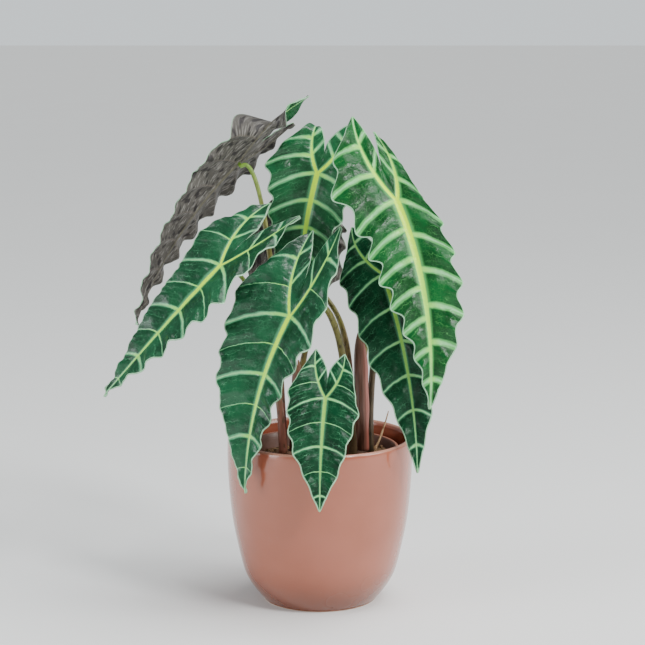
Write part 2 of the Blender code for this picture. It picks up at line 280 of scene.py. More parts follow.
moulded, tree, shader, coords = new_material("Terracotta plastic")
dust = fade(tree, grain(tree, coords, 38.0, 6.0, 0.65), 0.45, 0.7)
scuffs = fade(tree, grain(tree, coords, 60.0, 5.0, 0.6, (1, 1, 9)), 0.6, 0.68)
colour = blend(tree, dust, (0.36, 0.140, 0.085), (0.30, 0.125, 0.075))
colour = paint(tree, colour, scuffs, 0.5, (0.62, 0.40, 0.31))
# Painted shade: the pot's inner wall, inside a line that slants outward with height, is darkened as the
# shade within the pot.
facing = xyz(tree, coords)
away = calc(tree, "SQRT", plus(tree, calc(tree, "POWER", facing["X"], 2.0),
                               calc(tree, "POWER", facing["Y"], 2.0)))
slant = plus(tree, times(tree, facing["Z"], 0.152), 0.0400)
inside = fade(tree, calc(tree, "SUBTRACT", slant, away), -0.0006, 0.0006)
colour = paint(tree, colour, inside, 0.8, (0.050, 0.022, 0.012))
dress(tree, shader, grain(tree, coords, 700.0, 2.0), 0.15, MM, Base_Color=colour,
      Roughness=fade(tree, dust, 0.0, 1.0, 0.36, 0.62))
set_down(nursery, "nursery_plastic", "nursery_pot", moulded)


# ---- Coir -----------------------------------------------------------------------------------
# Potting mix of coconut coir: a lumpy bed of pith with loose crumbs and long tan fibres on top.

def face_corners(grid, flip):
    """The four corners of every face of a grid, the other way round if flipped."""
    corners = [grid[:-1, :-1], grid[:-1, 1:], grid[1:, 1:], grid[1:, :-1]]
    return np.stack(corners[:1] + corners[:0:-1] if flip else corners, 2)


def lay_grid(stock, points, maps=None, material=0, flip=False):
    """Adds a grid of (rows, columns, 3) points, with one (rows, columns, 2) layout per UV map."""
    rows, columns = points.shape[:2]
    index = stock["count"] + np.arange(rows * columns).reshape(rows, columns)
    stock["count"] += rows * columns
    stock["points"].append(points.reshape(-1, 3))
    quads = face_corners(index, flip).reshape(-1, 4)
    stock["faces"].append(quads)
    stock["materials"].append(np.full(len(quads), material))
    for name, flat in (maps or {}).items():
        stock["maps"].setdefault(name, []).append(face_corners(flat, flip).reshape(-1, 2))


def new_stock():
    return {"count": 0, "points": [], "faces": [], "materials": [], "maps": {}}


def weld(name, stock):
    """One smooth-shaded object out of a stock of grids, joined where their edges meet."""
    mesh = bpy.data.meshes.new(name)
    points = np.concatenate(stock["points"]) * MM
    mesh.from_pydata(points.tolist(), [], np.concatenate(stock["faces"]).tolist())
    for map_name, parts in stock["maps"].items():
        layer = mesh.uv_layers.new(name=map_name)
        layer.data.foreach_set("uv", np.concatenate(parts).astype(np.float32).ravel())
    mesh.polygons.foreach_set("material_index", np.concatenate(stock["materials"]).astype(np.int32))
    shape = bmesh.new()
    shape.from_mesh(mesh)
    bmesh.ops.remove_doubles(shape, verts=shape.verts, dist=0.000001)
    shape.to_mesh(mesh)
    shape.free()
    mesh.shade_smooth()
    piece = bpy.data.objects.new(name, mesh)
    bring_in(piece)
    return piece


def sweep(stock, line, sides, maps_name="stem", squash=1.0, caps=True):
    """A round stem along rows of (x, y, z, radius), with the share round it and along it as UV."""
    spots = line[:, :3]
    run = np.gradient(spots, axis=0)
    run /= np.linalg.norm(run, axis=1)[:, None]
    side = np.cross(run[0], (0.3, 1.0, 0.2))
    rings = []
    for spot, ahead, radius in zip(spots, run, line[:, 3]):
        side = side - ahead * (side @ ahead)
        side /= np.linalg.norm(side)
        other = np.cross(ahead, side)
        turn = np.arange(sides + 1) * math.tau / sides
        ring = np.cos(turn)[:, None] * side + squash * np.sin(turn)[:, None] * other
        rings.append(spot + ring * radius)
    rings = np.array(rings)
    rings[:, -1] = rings[:, 0]
    if caps:
        first = np.repeat(spots[:1], sides + 1, 0)
        last = np.repeat(spots[-1:], sides + 1, 0)
        rings = np.concatenate([first[None], rings, last[None]])
    share = np.linspace(0, 1, rings.shape[0])
    layout = np.stack(np.meshgrid(np.arange(sides + 1) / sides, share), -1)
    lay_grid(stock, rings, {maps_name: layout}, flip=True)


soil_low, soil_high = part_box("soil")
soil_radius = soil_high[0] / MM
soil_top = soil_high[2] / MM
random = np.random.default_rng(11)


def bed_height(x, y):
    """Height of the coir's surface: slightly mounded, with lumps and crumbs."""
    away = math.hypot(x, y) / soil_radius
    lumps = noise.fractal(Vector((x * 0.055, y * 0.055, 1.7)), 0.9, 2.1, 5) * 1.7
    bits = abs(noise.noise(Vector((x * 0.55, y * 0.55, 6.0)))) * 1.5
    heap = 5.0 * math.exp(-((x - 45) ** 2 + (y - 20) ** 2) / 330)
    return soil_top - 3.6 * away ** 2 + lumps * (1 - 0.5 * away) + bits + heap - 1.0


bed_rows = []
for share in np.linspace(0, 1, 76):
    ring = []
    for turn in np.linspace(0, math.tau, 241)[:-1]:
        x = share * (soil_radius + 0.8) * math.cos(turn)
        y = share * (soil_radius + 0.8) * math.sin(turn)
        ring.append((x, y, bed_height(x, y)))
    bed_rows.append(ring + ring[:1])
under = [[(x * scale, y * scale, z) for x, y, _ in bed_rows[-1]]
         for scale, z in ((0.98, soil_top - 14), (0.72, soil_low[2] / MM), (0.0, soil_low[2] / MM))]
bed_stock = new_stock()
lay_grid(bed_stock, np.array(bed_rows + under), flip=True)
bed = weld("Coir_bed", bed_stock)

crumb_stock = new_stock()
for _ in range(420):
    turn, away = random.uniform(0, math.tau), soil_radius * math.sqrt(random.uniform(0, 0.97))
    x, y = away * math.cos(turn), away * math.sin(turn)
    size = random.uniform(0.5, 1.0) * random.choice((1.0, 1.0, 1.8))
    grid = []
    for tilt in np.linspace(0, math.pi, 5):
        ring = [(math.sin(tilt) * math.cos(a), math.sin(tilt) * math.sin(a), math.cos(tilt))
                for a in np.arange(6) * math.tau / 6]
        grid.append(ring + ring[:1])
    grid = np.array(grid)
    grid[1:-1, :-1] *= random.uniform(0.65, 1.25, (3, 6, 1))
    grid[1:-1, -1] = grid[1:-1, 0]
    grid *= size * random.uniform(0.6, 1.3, 3)
    lay_grid(crumb_stock, grid + (x, y, bed_height(x, y) + 0.2 * size))
crumbs = weld("Coir_crumbs", crumb_stock)

fibre_stock = new_stock()
for _ in range(330):
    turn, away = random.uniform(0, math.tau), soil_radius * math.sqrt(random.uniform(0, 0.85))
    x, y = away * math.cos(turn), away * math.sin(turn)
    heading, curl = random.uniform(0, math.tau), random.uniform(-0.16, 0.16)
    step, width = random.uniform(1.0, 2.6), random.uniform(0.10, 0.22)
    rows = []
    for count in range(9):
        rise = 0.35 + 1.1 * math.sin(math.pi * count / 8) * random.uniform(0.2, 1.0)
        if math.hypot(x, y) < soil_radius - 0.5:
            rows.append((x, y, bed_height(x, y) + rise, width * (1 - 0.07 * count)))
        heading += curl + random.uniform(-0.25, 0.25)
        x, y = x + step * math.cos(heading), y + step * math.sin(heading)
    if len(rows) > 3:
        sweep(fibre_stock, smooth_path(rows, 2), 4)
fibres = weld("Coir_fibres", fibre_stock)

coir, tree, shader, coords = new_material("Coir")
lump = grain(tree, coords, 260.0, 6.0, 0.7)
thread = grain(tree, coords, 300.0, 4.0, 0.6, (1, 6, 1))
colour = blend(tree, fade(tree, lump, 0.3, 0.62), (0.035, 0.017, 0.008), (0.16, 0.085, 0.035))
colour = blend(tree, fade(tree, thread, 0.56, 0.66), colour, (0.30, 0.17, 0.065))
relief = plus(tree, lump, times(tree, thread, 0.5))
dress(tree, shader, relief, 0.8, 2 * MM, Base_Color=colour, Roughness=0.93)
fibre, tree, shader, coords = new_material("Coir fibre")
tint = grain(tree, coords, 90.0, 3.0)
colour = blend(tree, fade(tree, tint, 0.35, 0.65), (0.22, 0.11, 0.04), (0.46, 0.28, 0.12))
dress(tree, shader, grain(tree, coords, 900.0), 0.4, MM, Base_Color=colour, Roughness=0.7)
set_down(bed, "coir", "soil", coir)
set_down(crumbs, "coir", None, coir)
set_down(fibres, "coir", None, fibre)


# ---- Blades ---------------------------------------------------------------------------------
# Eight arrow-shaped leaf blades, leathery and glossy, dark green above and purplish grey below. Pale
# ribs and veins lie sunk in the upper face and stand out below, and the tissue swells between them.

# One blade. Plan lengths are shares of its length from junction to tip. Along runs from the petiole
# junction (0) to the tip (1), negative up into the lobes; side is positive to the right of the upper
# face when the tip hangs down. Each half is (half width, where along it is widest, how far out and
# how far back its lobe ends, veins from the junction to the tip). Between is how bold every second
# vein is. A twist turns a lobe about its own rib and a roll curls it back on itself: each is (where
# along it starts, degrees). Usual holds what most blades share.
usual = dict(ribs=1.0, between=1.0, curl=0.10, bow=0.0, notch=0.12)
blades = {
    "front": dict(
        usual, age="old", ribs=1.15, between=0.3, junction=(-22, -40, 224), tip=(-55, -60, 96),
        facing=(-0.45, -1.0, 0.18), droop=18, lobe_droop=25, fold=22, curl=0.15, bow=-0.05,
        left=(0.34, 0.10, 0.05, 0.50, 6), right=(0.25, 0.00, 0.12, 0.55, 6)),
    "small_front": dict(
        usual, age="shaded", ribs=0.80, between=0.4, junction=(4, -74, 170), tip=(0, -94, 91),
        facing=(0.05, -1.0, 0.25), droop=12, lobe_droop=30, fold=10, bow=-0.015, notch=0.08,
        left=(0.35, 0.15, 0.10, 0.44, 5), right=(0.30, 0.20, 0.16, 0.40, 5)),
    "right": dict(
        usual, age="young", ribs=1.7, junction=(56, -30, 308), tip=(80, -62, 159),
        facing=(0.1, -1.0, 0.25), droop=25, lobe_droop=20, fold=8, bow=0.05, notch=0.20,
        left=(0.30, -0.12, 0.13, 0.45, 7), right=(0.20, 0.45, -0.04, 0.36, 6)),
    "right_rear": dict(
        usual, age="shaded", junction=(47, -14, 251), tip=(72, -48, 108),
        facing=(-0.1, -1.0, 0.2), droop=15, lobe_droop=20, fold=15, bow=0.04,
        left=(0.23, 0.15, 0.12, 0.26, 6), right=(0.22, 0.15, 0.11, 0.22, 6)),
    "left": dict(
        usual, age="old", ribs=1.1, between=0.5, junction=(-73, -22, 259), tip=(-160, -34, 163),
        facing=(-0.5, -0.7, 0.5), droop=30, lobe_droop=25, fold=14, curl=0.05, bow=0.05, notch=0.14,
        left=(0.26, -0.10, 0.16, 0.46, 6), right=(0.24, 0.25, 0.02, 0.54, 6)),
    "back_left": dict(
        usual, age="grown", junction=(-62, 30, 330), tip=(-139, 0, 211),
        facing=(-0.6, 0.5, 0.55), droop=30, lobe_droop=20, fold=5,
        left=(0.18, 0.15, 0.08, 0.35, 6), right=(0.25, 0.05, 0.04, 0.50, 6), right_twist=(-0.30, 175)),
    "top": dict(
        usual, age="grown", ribs=1.3, junction=(-2, 30, 322), tip=(-17, 20, 203),
        facing=(-0.05, -1.0, 0.45), droop=10, lobe_droop=10, fold=8, bow=-0.03,
        left=(0.32, 0.00, 0.04, 0.34, 6), right=(0.27, 0.05, 0.15, 0.32, 6), left_roll=(-0.25, 150)),
    "rear": dict(
        usual, age="shaded", junction=(-17, 52, 275), tip=(-24, 76, 178),
        facing=(-0.1, 0.9, 0.35), droop=20, lobe_droop=20, fold=8,
        left=(0.42, 0.25, 0.16, 0.32, 4), right=(0.42, 0.25, 0.16, 0.32, 4)),
}
taper = 1.35  # how full the margin stays towards the tip: 1 is straight, more is rounder
sweep_forward = 0.14  # how far a vein runs forward on its way out to the margin
last_vein = 0.86  # where the last vein leaves the midrib
lobe_veins = (0.65, 0.32)  # where the veins of a lobe leave its rib
web_depth = 0.45  # depth of the web between the lobes, as a share of the shorter lobe
unevenness = 0.05  # how much a half's width varies from vein to vein
lobe_end = 0.006  # half the width of a lobe's blunt end
tip_end = 0.005  # half the width of the leaf's tip
crease = 0.012  # half the width of the soft crease along the midrib
full_twist = -0.70  # where along a lobe its twist is complete


def midrib_side(blade, along):
    """How far the midrib bows to one side at a station."""
    along = np.clip(along, 0.0, 1.0)
    return 4 * blade["bow"] * along * (1 - along)


def blade_frame(blade):
    """Junction, direction of the midrib and of the upper face there, sideways, and length in mm."""
    junction = np.array(blade["junction"], float)
    chord = np.array(blade["tip"], float) - junction
    along = chord / np.linalg.norm(chord)
    facing = np.array(blade["facing"], float)
    facing -= along * (facing @ along)
    facing /= np.linalg.norm(facing)
    half = math.radians(blade["droop"]) / 2
    out = along * math.cos(half) + facing * math.sin(half)
    up = facing * math.cos(half) - along * math.sin(half)
    return junction, out, up, np.cross(up, out), np.linalg.norm(chord) * half / math.sin(half)


def blade_points(blade, lobe, plan, lift):
    """Points in space of plan points, which are shares of the length, lifted by millimetres."""
    junction, out, up, across, length = blade_frame(blade)
    way = np.linspace(-0.7, 1.1, 721)
    turn = np.radians(np.where(way >= 0, blade["droop"], blade["lobe_droop"])) * way
    start, degrees = blade.get(lobe + "_roll", (-0.5, 0))
    rolled = np.clip((start - way) / (start + blade[lobe][3] + 0.001), 0, 1)
    turn -= math.radians(degrees) * rolled ** 1.3
    heading = (out * np.cos(turn)[:, None] - up * np.sin(turn)[:, None]) * length * (way[1] - way[0])
    spine = np.cumsum(heading, axis=0)
    spine += junction - spine[np.argmin(abs(way))]
    side, along = plan[..., 0], plan[..., 1]
    centre = np.stack([np.interp(along, way, spine[:, n]) for n in range(3)], -1)
    turn = np.interp(along, way, turn)[..., None]
    normal = up * np.cos(turn) + out * np.sin(turn)
    fold = math.radians(blade["fold"])
    reach = side - midrib_side(blade, along)
    slope = np.hypot(reach, crease) - crease
    rise = slope * math.sin(fold) - blade["curl"] * reach * reach + lift / length
    return centre + length * (across * (side * math.cos(fold))[..., None] + normal * rise[..., None])


def twisted(points, spine, stations, start, degrees):
    """Cross rows turned about the lobe's rib, from nothing at one station to the full turn."""
    share = np.clip((start - stations) / (start - full_twist), 0, 1)
    angle = (math.radians(degrees) * share * share * (3 - 2 * share))[:, None, None]
    axis = np.gradient(spine, axis=0)
    axis = (axis / np.linalg.norm(axis, axis=1)[:, None])[:, None]
    arm = points - spine[:, None]
    along = (arm * axis).sum(-1, keepdims=True) * axis
    turned_arm = along + (arm - along) * np.cos(angle) + np.cross(axis, arm) * np.sin(angle)
    return spine[:, None] + turned_arm


def vein_stops(blade, lobe):
    """(rib station, side, along) of each vein's end on one half's margin, from lobe tip to leaf tip."""
    sign = -1 if lobe == "left" else 1
    width, widest, lobe_out, lobe_back, veins = blade[lobe]
    stops = []
    for station in [-s for s in lobe_veins] + [last_vein * n / (veins - 1) for n in range(veins)]:
        if station < 0:
            along = sweep_forward + station * (sweep_forward + lobe_back)
        else:
            along = station + sweep_forward * (1 - station)
        if along < widest:
            back = (widest - along) / (widest + lobe_back)
            half = lobe_out + (width - lobe_out) * (1 - back * back)
        else:
            half = width * (1 - ((along - widest) / (1 - widest)) ** taper)
        half *= 1 + unevenness * math.sin(9 * station + 2 * sign)
        stops.append((station, midrib_side(blade, along) + sign * half, along))
    return stops


def web_stops(blade, lobe):
    """(rib station, side, along) from the bottom of the web between the lobes to the lobe's tip."""
    sign = -1 if lobe == "left" else 1
    reach = min(blade["left"][3], blade["right"][3])
    centre = 0.25 * (blade["right"][2] - blade["left"][2])
    depth = -web_depth * reach
    out, back = sign * blade[lobe][2], -blade[lobe][3]
    return [(-s, centre + (out - centre) * s * s, depth + (back - depth) * s) for s in (0, 0.35, 0.7)]


def rib_plan(blade, lobe, stations):
    """Plan points of rib stations: on the midrib from 0 to 1, on the lobe's rib below 0."""
    sign = -1 if lobe == "left" else 1
    out, back = blade[lobe][2], blade[lobe][3]
    end = np.array((sign * out, -back))
    middle = np.array((sign * (0.55 * out + 0.035), -0.48 * back))
    t = -stations[:, None]
    on_lobe = 2 * t * (1 - t) * (2 * middle - end / 2) + t * t * end
    return np.where(t > 0, on_lobe, np.stack([midrib_side(blade, stations), stations], 1))


def margin_stops(blade, lobe, inner):
    """The (rib station, side, along) of every vein of one quarter, from end to end."""
    sign = -1 if lobe == "left" else 1
    tip_side, tip_along = sign * blade[lobe][2], -blade[lobe][3]
    if inner:
        return np.array([*web_stops(blade, lobe), (-1, tip_side - lobe_end * sign, tip_along)])
    return np.array([(-1, tip_side + lobe_end * sign, tip_along), *vein_stops(blade, lobe),
                     (1, tip_end * sign, 1.0)])


def stations_through(marks, step):
    """Stations from the first mark to the last, through every mark and at most a step apart."""
    marks = np.unique(np.round(marks, 4))
    spans = [np.linspace(a, b, math.ceil((b - a) / step) + 1)[:-1] for a, b in zip(marks, marks[1:])]
    return np.concatenate([*spans, marks[-1:]])


def ripples(x, y, seed, size):
    """A smooth irregular swell, about -1 to 1, over coordinates in millimetres."""
    dice = np.random.default_rng(seed)
    total = np.zeros_like(x)
    for _ in range(9):
        turn, phase = dice.uniform(0, math.tau, 2)
        pitch = math.tau / (size * dice.uniform(0.7, 1.6))
        total += np.sin(pitch * (x * math.cos(turn) + y * math.sin(turn)) + phase)
    return total / 4


points_per_vein = 24  # points of the margin from one vein to the next
arch = 0.35  # how strongly a vein arches back between its rib and the margin
swelling = 0.11  # height of the tissue between two veins, as a share of their spacing
margin_wave = 0.016  # height of the margin's wave from vein to vein, as a share of the length
leaf_skin = 0.45  # thickness between the ribs, in mm
rim = 0.22  # how far the rounded margin stands out, in mm
vein_ridge = 0.5  # height of a vein on the lower face, in mm


def lay_quarter(stock, blade, lobe, inner, stations, rows, seed):
    """One quarter of a blade: both faces and the rounded margin, with what the veins need as UVs."""
    length = blade_frame(blade)[4]
    stops = margin_stops(blade, lobe, inner)
    way, here = abs(stops[:, 0] - stops[0, 0]), abs(stations - stops[0, 0])
    count = np.interp(here, way, np.arange(len(stops)))
    root = rib_plan(blade, lobe, stations)
    outline = smooth_path(stops[:, 1:], points_per_vein)
    index = np.arange(len(outline)) / points_per_vein
    edge = np.stack([np.interp(count, index, outline[:, n]) for n in (0, 1)], 1)
    if not inner:
        inward = blade["notch"] * np.sin(math.pi * count) ** 2
        edge = edge + (root - edge) * inward[:, None]
    v = np.linspace(0, 1, rows + 1) ** 0.9
    plan = root[:, None] * (1 - v[:, None]) + edge[:, None] * v[:, None]
    wide = abs(edge - root)[:, :1]
    if not inner:
        plan[..., 1] -= arch * wide * v * (1 - v)

    # The relief: tissue swelling between sunk veins, ripples all over, and a margin that waves.
    first, last = count < 1, count > len(stops) - 2
    veins = np.where(first, 0.5 + count / 2, np.where(last, (count + len(stops) - 2) / 2, count))
    step = abs(np.gradient(veins))[:, None]
    spacing = np.linalg.norm(np.gradient(plan, axis=0), axis=2) / step * length
    reach = np.linalg.norm(edge - root, axis=1)[:, None] * length
    near_rib = v * reach
    ease = np.minimum(abs(stations) / 0.3, 1)[:, None] if inner else 1.0
    swell = ease * abs(np.sin(math.pi * veins))[:, None] ** 0.75
    lift = swelling * np.minimum(spacing, 22) * swell * v ** 0.5 * (1 - v) ** 0.4
    lift *= 1 - np.exp(-(near_rib / 4.5) ** 2)
    lift -= 0.4 * np.exp(-(near_rib / 2.2) ** 2)
    x, y = plan[..., 0] * length, plan[..., 1] * length
    lift += 0.40 * ripples(x, y, seed, 11.0) * np.minimum(near_rib / 6, 1)
    lift += 0.08 * ripples(x, y, seed + 1, 5.0) * np.minimum(near_rib / 6, 1)
    if not inner:
        wave = margin_wave * length * np.cos(math.tau * count)
        wave += 0.5 * np.sin(math.tau * 2.6 * count + seed)
        lift -= wave[:, None] * v ** 2.2
    lift += 0.25

    # The thickness: ribs and veins stand out below.
    out_along = abs(stations)[:, None]
    on_midrib = stations[:, None] >= 0
    rib_ridge = np.where(on_midrib, 1.5 * (1 - 0.75 * out_along), 1 - 0.7 * out_along)
    rib_wide = np.where(on_midrib, 1.7 - out_along, 1.3 - 0.7 * out_along)
    vein_gap = abs(veins - np.round(veins))[:, None] * spacing
    thick = leaf_skin + rib_ridge * np.exp(-(near_rib / rib_wide) ** 2)
    slimmer = ease * (1 - np.exp(-near_rib ** 2)) * (1 - 0.7 * v)
    thick += vein_ridge * slimmer * np.exp(-(vein_gap / 0.75) ** 2)
    outward = (edge - root) / np.maximum(np.linalg.norm(edge - root, axis=1), 1e-6)[:, None]
    rounded = (plan[:, -1] + outward * rim / length)[:, None]
    skins = np.stack([plan, plan, np.repeat(rounded, rows + 1, 1)])
    lifts = np.stack([lift, lift - thick, np.repeat(lift[:, -1:] - rim, rows + 1, 1)])
    skins = blade_points(blade, lobe, skins, lifts)
    if lobe + "_twist" in blade:
        spine = blade_points(blade, lobe, root, np.zeros(len(root)))
        skins = [twisted(skin, spine, stations, *blade[lobe + "_twist"]) for skin in skins]
    upper, lower, brim = skins[0], skins[1], skins[2][:, 0]

    # What the material reads: where the veins are, how wide they stand, and how bold they are.
    order = np.round(count).astype(int)
    second = (order - len(lobe_veins)) % 2 == 0
    inside = (order > 0) & (order < len(stops) - 1)
    strengths = np.where(second & inside & (not inner), blade["between"], 1.0)
    bold = blade["ribs"] * strengths[:, None]
    both = np.ones_like(x)
    pairs = {"veins": (veins[:, None], v), "sizes": (spacing, reach), "place": (stations[:, None], 0),
             "flat": (x, y), "bold": (blade["ribs"], bold)}
    maps = {name: np.stack([one * both, other * both], -1) for name, (one, other) in pairs.items()}
    lay_grid(stock, upper, maps, 0)
    lay_grid(stock, lower, maps, 1)
    rim_maps = {name: np.stack([flat[:, -1]] * 3, 1) for name, flat in maps.items()}
    lay_grid(stock, np.stack([upper[:, -1], brim, lower[:, -1]], 1), rim_maps, 0)
    for end in ([0, -1] if not inner else [0]):
        end_maps = {name: np.stack([flat[end]] * 2, 0) for name, flat in maps.items()}
        lay_grid(stock, np.stack([upper[end], lower[end]]), end_maps, 0)


def grow_blade(name, blade, seed):
    """A whole blade: two outer halves from lobe tip to leaf tip and the web between the lobes."""
    stock = new_stock()
    ribs = [margin_stops(blade, lobe, False)[:, 0] for lobe in ("left", "right")]
    main = stations_through([s for rib in ribs for s in rib if s >= 0], 0.009)
    for lobe in ("left", "right"):
        marks = np.concatenate([margin_stops(blade, lobe, inner)[:, 0] for inner in (False, True)])
        horn = stations_through(marks[marks <= 0], 0.016)
        lay_quarter(stock, blade, lobe, False, np.concatenate([horn, main[1:]]), 36, seed)
        lay_quarter(stock, blade, lobe, True, horn, 16, seed)
    piece = weld(name, stock)
    shape = bmesh.new()
    shape.from_mesh(piece.data)
    bmesh.ops.holes_fill(shape, edges=[e for e in shape.edges if e.is_boundary], sides=6)
    bmesh.ops.recalc_face_normals(shape, faces=shape.faces)
    shape.to_mesh(piece.data)
    shape.free()
    return piece


def vein_marks():
    """A node group that draws the veins of any blade from its UV maps, as masks and a height."""
    tree = bpy.data.node_groups.new("Blade veins", "ShaderNodeTree")
    for name in ("Rib", "Vein", "Halo", "Edge", "Fine", "Height"):
        tree.interface.new_socket(name, in_out="OUTPUT", socket_type="NodeSocketFloat")
    maps = {name: uv_map(tree, name)
            for name in ("veins", "sizes", "place", "flat", "bold")}
    count, v = xyz(tree, maps["veins"])[:2]
    spacing, reach = xyz(tree, maps["sizes"])[:2]
    station = xyz(tree, maps["place"])[0]
    rib_bold, bold = xyz(tree, maps["bold"])[:2]
    flat = maps["flat"]

    count = plus(tree, count, swing(tree, flat, 0.11, 3.0, 0.09))
    ragged = swing(tree, flat, 0.9, 3.0, 0.55)
    near_rib = plus(tree, times(tree, v, reach), ragged)
    rib_age = calc(tree, "ABSOLUTE", station)
    on_lobe = calc(tree, "LESS_THAN", station, 0.0)
    main = fade(tree, rib_age, 0.0, 1.0, 1.75, 0.45)
    horn = fade(tree, rib_age, 0.0, 1.0, 1.25, 0.35)
    on_midrib = calc(tree, "SUBTRACT", 1.0, on_lobe)
    wide = plus(tree, times(tree, on_midrib, main), times(tree, on_lobe, horn))
    wide = times(tree, wide, rib_bold)
    rib = fade(tree, calc(tree, "DIVIDE", near_rib, wide), 1.15, 0.75)

    off = calc(tree, "PINGPONG", count, 0.5)
    near_vein = plus(tree, times(tree, off, spacing), times(tree, ragged, 0.35))
    slim = times(tree, fade(tree, v, 0.0, 1.0, 1.15, 0.42), bold)
    vein = fade(tree, calc(tree, "DIVIDE", near_vein, slim), 1.25, 0.45)
    vein_halo = times(tree, fade(tree, calc(tree, "DIVIDE", near_vein, bold), 2.0, 0.5), bold)
    rib_halo = fade(tree, calc(tree, "DIVIDE", near_rib, wide), 2.5, 0.8)
    halo = add_node(tree, "ShaderNodeClamp", {0: calc(tree, "MAXIMUM", rib_halo, vein_halo)}).outputs[0]
    to_edge = times(tree, calc(tree, "SUBTRACT", 1.0, v), reach)
    edge = fade(tree, plus(tree, to_edge, times(tree, ragged, 0.6)), 0.85, 0.45)

    bend = swing(tree, flat, 0.22, 2.0, 0.30)
    side_line = calc(tree, "PINGPONG", times(tree, plus(tree, count, bend), 4.0), 0.5)
    near_side = times(tree, side_line, times(tree, spacing, 0.25))
    thread = times(tree, fade(tree, near_side, 0.30, 0.08), fade(tree, spacing, 4.0, 9.0))
    thread = times(tree, thread, fade(tree, v, 0.25, 0.75, 0.35, 1.0))
    inputs = {"Vector": flat, "Scale": 0.42, "Randomness": 0.9}
    cells = add_node(tree, "ShaderNodeTexVoronoi", inputs, feature="DISTANCE_TO_EDGE").outputs[0]
    seams = fade(tree, cells, 0.10, 0.02)
    patchy = fade(tree, grain(tree, flat, 0.16, 3.0), 0.35, 0.65)
    fine = times(tree, calc(tree, "MAXIMUM", thread, times(tree, seams, 0.2)), patchy)

    pillow = fade(tree, near_side, 0.0, 2.6)
    dimple = fade(tree, cells, 0.0, 0.45)
    raised = plus(tree, times(tree, pillow, 0.55), times(tree, dimple, 0.30))
    sunk = times(tree, calc(tree, "MAXIMUM", rib, vein), -0.5)
    leather = times(tree, grain(tree, flat, 1.4, 3.0), 0.05)
    height = plus(tree, plus(tree, raised, sunk), leather)
    out = add_node(tree, "NodeGroupOutput")
    for name, value in (("Rib", rib), ("Vein", vein), ("Halo", halo), ("Edge", edge),
                        ("Fine", fine), ("Height", height)):
        tree.links.new(value, out.inputs[name])
    return tree


veins_group = vein_marks()


def blade_upper(name, age, painted_light_level, gloss):
    """The glossy dark green upper face, with mint ribs in a silvery bloom and a thin pale margin."""
    made, tree, shader, coords = new_material(name)
    marks = add_node(tree, "ShaderNodeGroup", node_tree=veins_group).outputs
    station = xyz(tree, uv_map(tree, "place"))[0]
    v = xyz(tree, uv_map(tree, "veins"))[1]
    cloud = fade(tree, grain(tree, coords, 45.0, 4.0), 0.35, 0.65)
    # Painted shade: a lower light level gives a darker green, a dimmer bloom and paler ribs, for leaves in
    # the shade of others.
    depth = 0.45 + 0.70 * painted_light_level
    old = blend(tree, cloud, *((0.0020 * k, 0.036 * k, 0.013 * k) for k in (depth, 2.2 * depth)))
    young = blend(tree, cloud, (0.002, 0.048, 0.009), (0.005, 0.100, 0.020))
    green = blend(tree, age, old, young)
    silvery = blend(tree, age, (0.130, 0.440, 0.220), (0.130, 0.500, 0.140))
    bloom = 0.35 + 0.45 * painted_light_level
    green = paint(tree, green, marks["Halo"], bloom, silvery)
    green = paint(tree, green, marks["Fine"], 0.55, silvery)
    specks = fade(tree, grain(tree, coords, 1500.0, 2.0), 0.62, 0.72)
    green = paint(tree, green, specks, 0.12, (0.05, 0.20, 0.08))
    along = calc(tree, "ABSOLUTE", station)
    pale = (0.17, 0.44, 0.11)
    lime = blend(tree, painted_light_level, pale, (0.62, 0.98, 0.010))
    mint = blend(tree, fade(tree, along, 0.05, 0.60), lime, blend(tree, painted_light_level, pale, (0.42, 0.88, 0.10)))
    mint = blend(tree, fade(tree, along, 0.60, 1.0), mint, (0.26, 0.64, 0.28))
    inner_vein = blend(tree, painted_light_level, (0.20, 0.46, 0.18), (0.30, 0.78, 0.10))
    vein = blend(tree, fade(tree, v, 0.0, 0.55), inner_vein, (0.24, 0.62, 0.26))
    colour = blend(tree, marks["Vein"], green, vein)
    colour = blend(tree, marks["Rib"], colour, mint)
    colour = paint(tree, colour, marks["Edge"], 0.85, (0.34, 0.62, 0.38))
    scar = fade(tree, grain(tree, coords, 75.0, 5.0, 0.6), 0.745, 0.765)
    colour = paint(tree, colour, scar, 0.7, (0.22, 0.12, 0.04))
    smear = fade(tree, grain(tree, coords, 30.0, 5.0, 0.6), 0.4, 0.7, 0.30, 0.40)
    dress(tree, shader, marks["Height"], 0.42, 0.45 * MM, Base_Color=colour, Roughness=smear,
          Specular_IOR_Level=gloss)
    return made


def blade_lower():
    """The matt purplish grey underside, with raised pale ribs and dark flecks along the veins."""
    made, tree, shader, coords = new_material("Blade, underside")
    marks = add_node(tree, "ShaderNodeGroup", node_tree=veins_group).outputs
    flat = uv_map(tree, "flat")
    cloud = fade(tree, grain(tree, coords, 40.0, 4.0), 0.35, 0.65)
    ground = blend(tree, cloud, (0.050, 0.046, 0.038), (0.085, 0.078, 0.068))
    streaks = fade(tree, grain(tree, flat, 0.75, 3.0, 0.55, (1.0, 0.16, 1.0)), 0.50, 0.66)
    ground = paint(tree, ground, streaks, 0.75, (0.25, 0.24, 0.22))
    flecks = fade(tree, grain(tree, flat, 0.30, 1.0, 0.4, (1.0, 0.40, 1.0)), 0.54, 0.63)
    ground = paint(tree, ground, flecks, 0.92, (0.010, 0.007, 0.008))
    ground = paint(tree, ground, marks["Fine"], 0.25, (0.15, 0.13, 0.12))
    colour = paint(tree, ground, marks["Vein"], 0.45, (0.13, 0.11, 0.09))
    colour = paint(tree, colour, marks["Rib"], 0.6, (0.14, 0.13, 0.085))
    colour = paint(tree, colour, marks["Edge"], 0.4, (0.20, 0.22, 0.18))
    dress(tree, shader, marks["Height"], 0.5, 0.4 * MM, Base_Color=colour, Roughness=0.5,
          Specular_IOR_Level=0.4)
    return made


